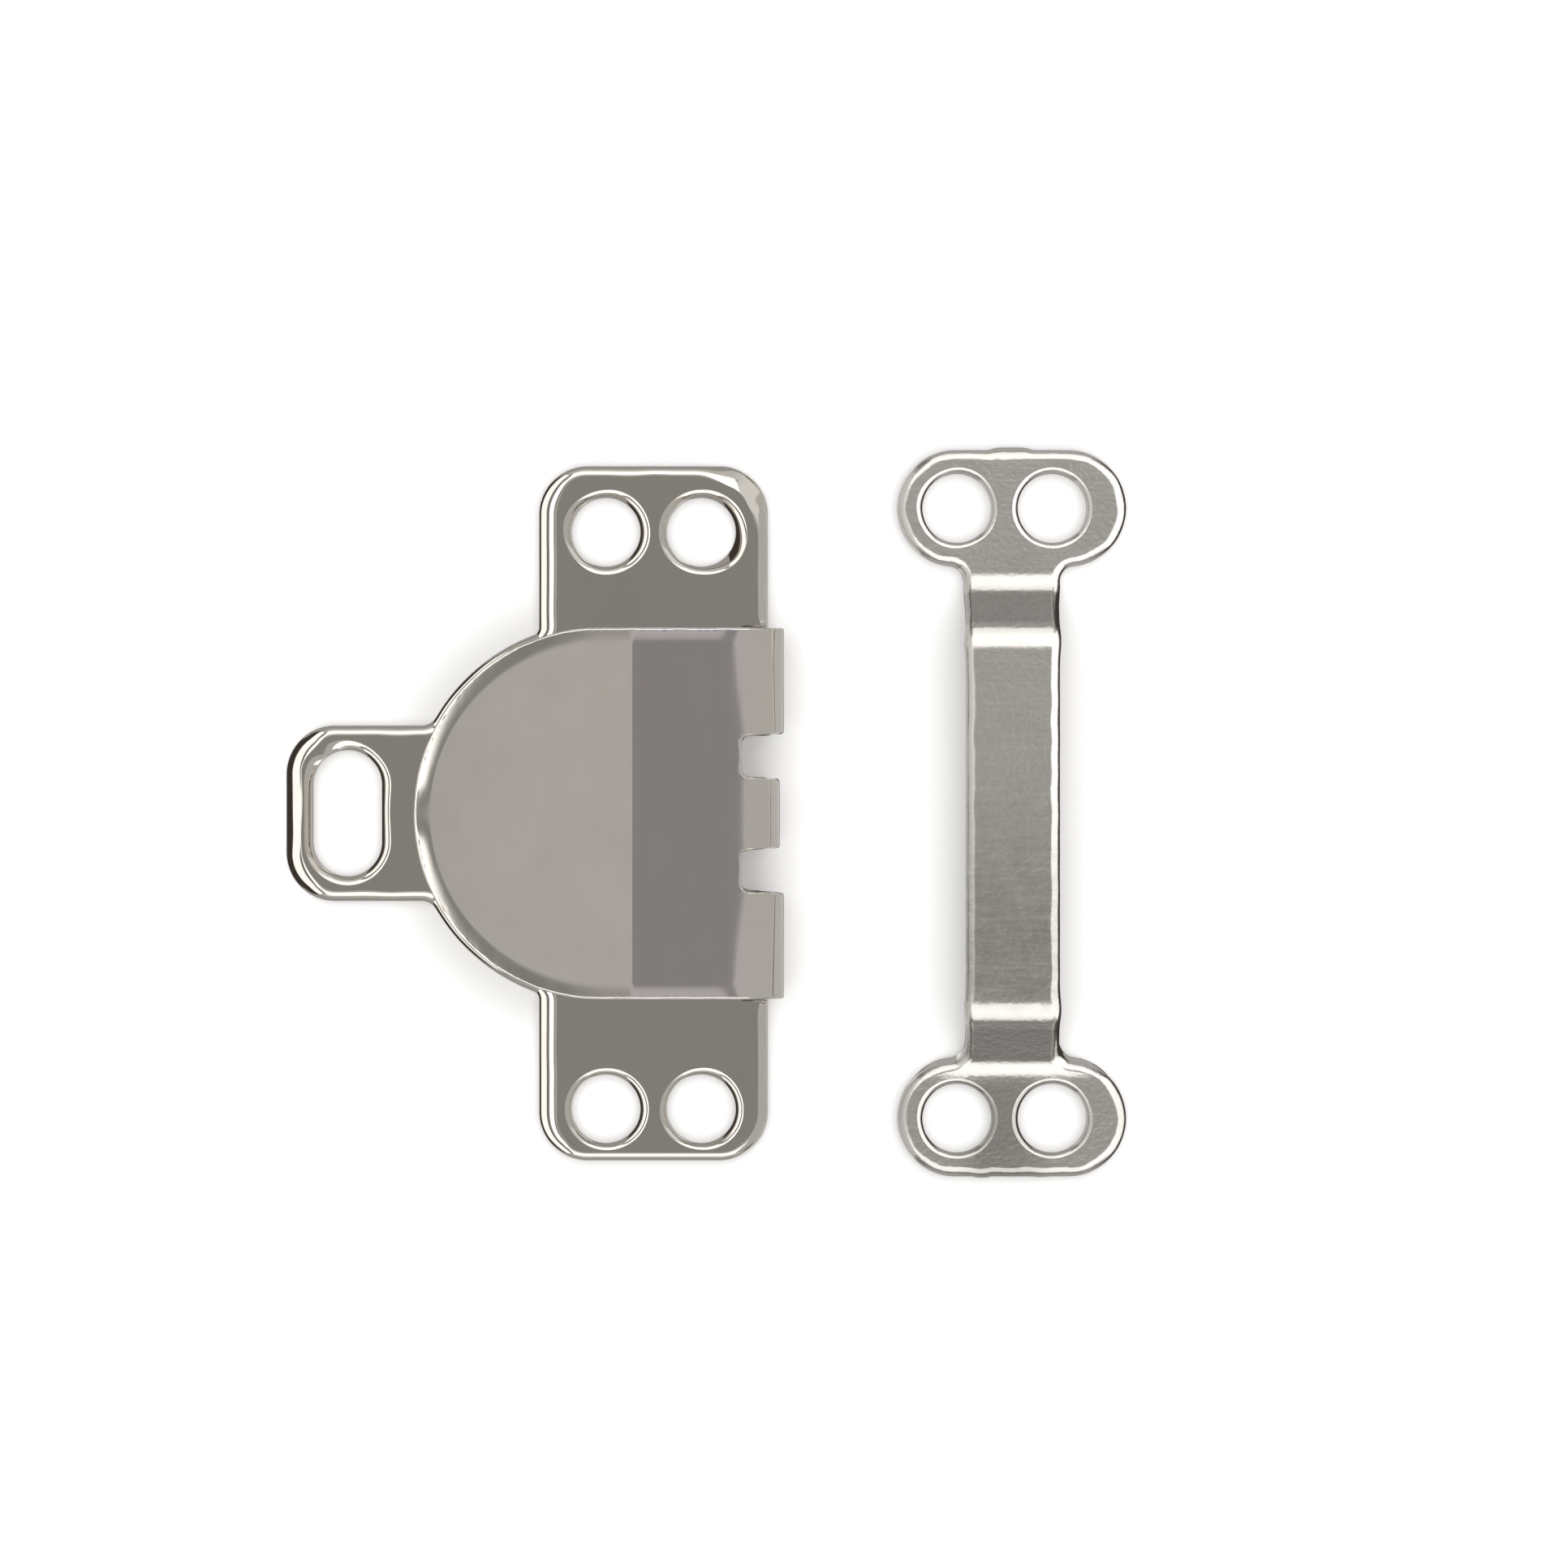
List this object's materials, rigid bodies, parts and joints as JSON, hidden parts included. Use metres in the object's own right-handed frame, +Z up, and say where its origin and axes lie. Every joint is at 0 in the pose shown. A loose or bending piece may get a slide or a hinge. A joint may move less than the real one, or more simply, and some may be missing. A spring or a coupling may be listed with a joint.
{
  "type": "sew-on hook and bar",
  "caption": "Sew-on waistband fastener: a flat folded-sheet hook with a D-shaped tongue and sewing tab, and a raised bar whose bridge slides in under the tongue.",
  "frame": {"origin": "below the middle of the pair as it lies face up on a table: the centre of the bounding box's bottom face", "axes": "+X runs from the hook's sewing tab to the bar and is the length of the pair, +Y runs along the bar and the hook's strip, +Z is up out of the table"},
  "size_m": [0.0242, 0.021, 0.0024],
  "materials": {
    "bright_nickel": "bright nickel plate over stamped steel, rounded edges, light burr line on the folded tongue",
    "satin_nickel": "satin nickel plate over stamped steel with fine cross scratches"
  },
  "bodies": {
    "hook": {"hook": "bright_nickel"},
    "bar": {"bar": "satin_nickel"}
  },
  "joints": [
    {"name": "bar_slide", "type": "slide", "parent": "hook", "child": "bar", "axis": [1, 0, 0], "range_m": [-0.0028, 0.01]}
  ]
}
